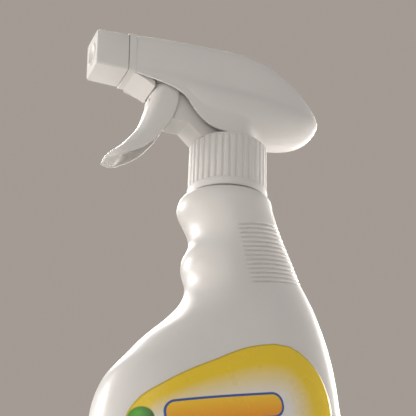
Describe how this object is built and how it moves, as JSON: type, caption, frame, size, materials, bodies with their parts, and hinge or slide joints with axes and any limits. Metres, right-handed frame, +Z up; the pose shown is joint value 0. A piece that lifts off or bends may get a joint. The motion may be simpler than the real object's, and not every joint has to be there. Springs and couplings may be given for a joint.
{
  "type": "degreaser trigger spray bottle",
  "caption": "White waisted spray bottle with yellow label panels and a ribbed screw collar under a trigger pump head with a square turning nozzle.",
  "frame": {"origin": "on the standing plane, under the axis of the neck and collar", "axes": "+Z up along the neck's axis, nozzle towards -X, front label towards -Y"},
  "size_m": [0.1153, 0.0592, 0.2665],
  "materials": {
    "bottle_plastic": "satin blow-moulded",
    "head_plastic": "satin injection-moulded",
    "inner_plastic": "natural, smooth",
    "tube_plastic": "extruded, cloudy",
    "front_label_film": "printed film",
    "back_label_film": "printed film",
    "gasket_foam": "soft foam",
    "seal_rubber": "smooth",
    "valve_rubber": "smooth",
    "steel": "drawn"
  },
  "bodies": {
    "bottle": {"bottle": "bottle_plastic", "front_label": "front_label_film", "back_label": "back_label_film"},
    "sprayer": {"pump_body": "head_plastic", "shroud": "head_plastic", "tube_retainer": "inner_plastic", "gasket": "gasket_foam", "dip_tube": "tube_plastic", "outlet_valve": "valve_rubber", "swirl_insert": "inner_plastic", "return_spring": "steel"},
    "collar": {"collar": "head_plastic"},
    "trigger": {"trigger": "head_plastic"},
    "piston": {"piston": "inner_plastic", "piston_seal": "seal_rubber"},
    "nozzle": {"nozzle_cap": "head_plastic"},
    "inlet_ball": {"inlet_ball": "steel"}
  },
  "joints": [
    {"name": "sprayer_lift", "type": "slide", "parent": "bottle", "child": "sprayer", "axis": [0, 0, 1], "range_m": [0, 0.00634]},
    {"name": "collar_turn", "type": "hinge", "parent": "sprayer", "child": "collar", "pos_m": [0, 0, 0.207], "axis": [0, 0, 1], "range_deg": [0, 540]},
    {"name": "trigger_pull", "type": "hinge", "parent": "sprayer", "child": "trigger", "pos_m": [-0.034, 0, 0.25], "axis": [0, -1, 0], "range_deg": [0, 18], "stiffness_Nm_per_rad": 0.6, "springref_deg": -17.19},
    {"name": "piston_push", "type": "slide", "parent": "sprayer", "child": "piston", "axis": [1, 0, 0], "range_m": [0, 0.0059], "deforming": ["return_spring"]},
    {"name": "nozzle_turn", "type": "hinge", "parent": "sprayer", "child": "nozzle", "pos_m": [-0.0472, 0, 0.2515], "axis": [-0.999, 0, -0.0436], "range_deg": [-90, 90]},
    {"name": "ball_lift", "type": "slide", "parent": "sprayer", "child": "inlet_ball", "axis": [0, 0, 1], "range_m": [0, 0.0012]}
  ],
  "couplings": [
    {"joint": "collar_turn", "follows": "sprayer_lift", "rad_per_m": 1485.4},
    {"joint": "piston_push", "follows": "trigger_pull", "m_per_rad": 0.0186}
  ]
}
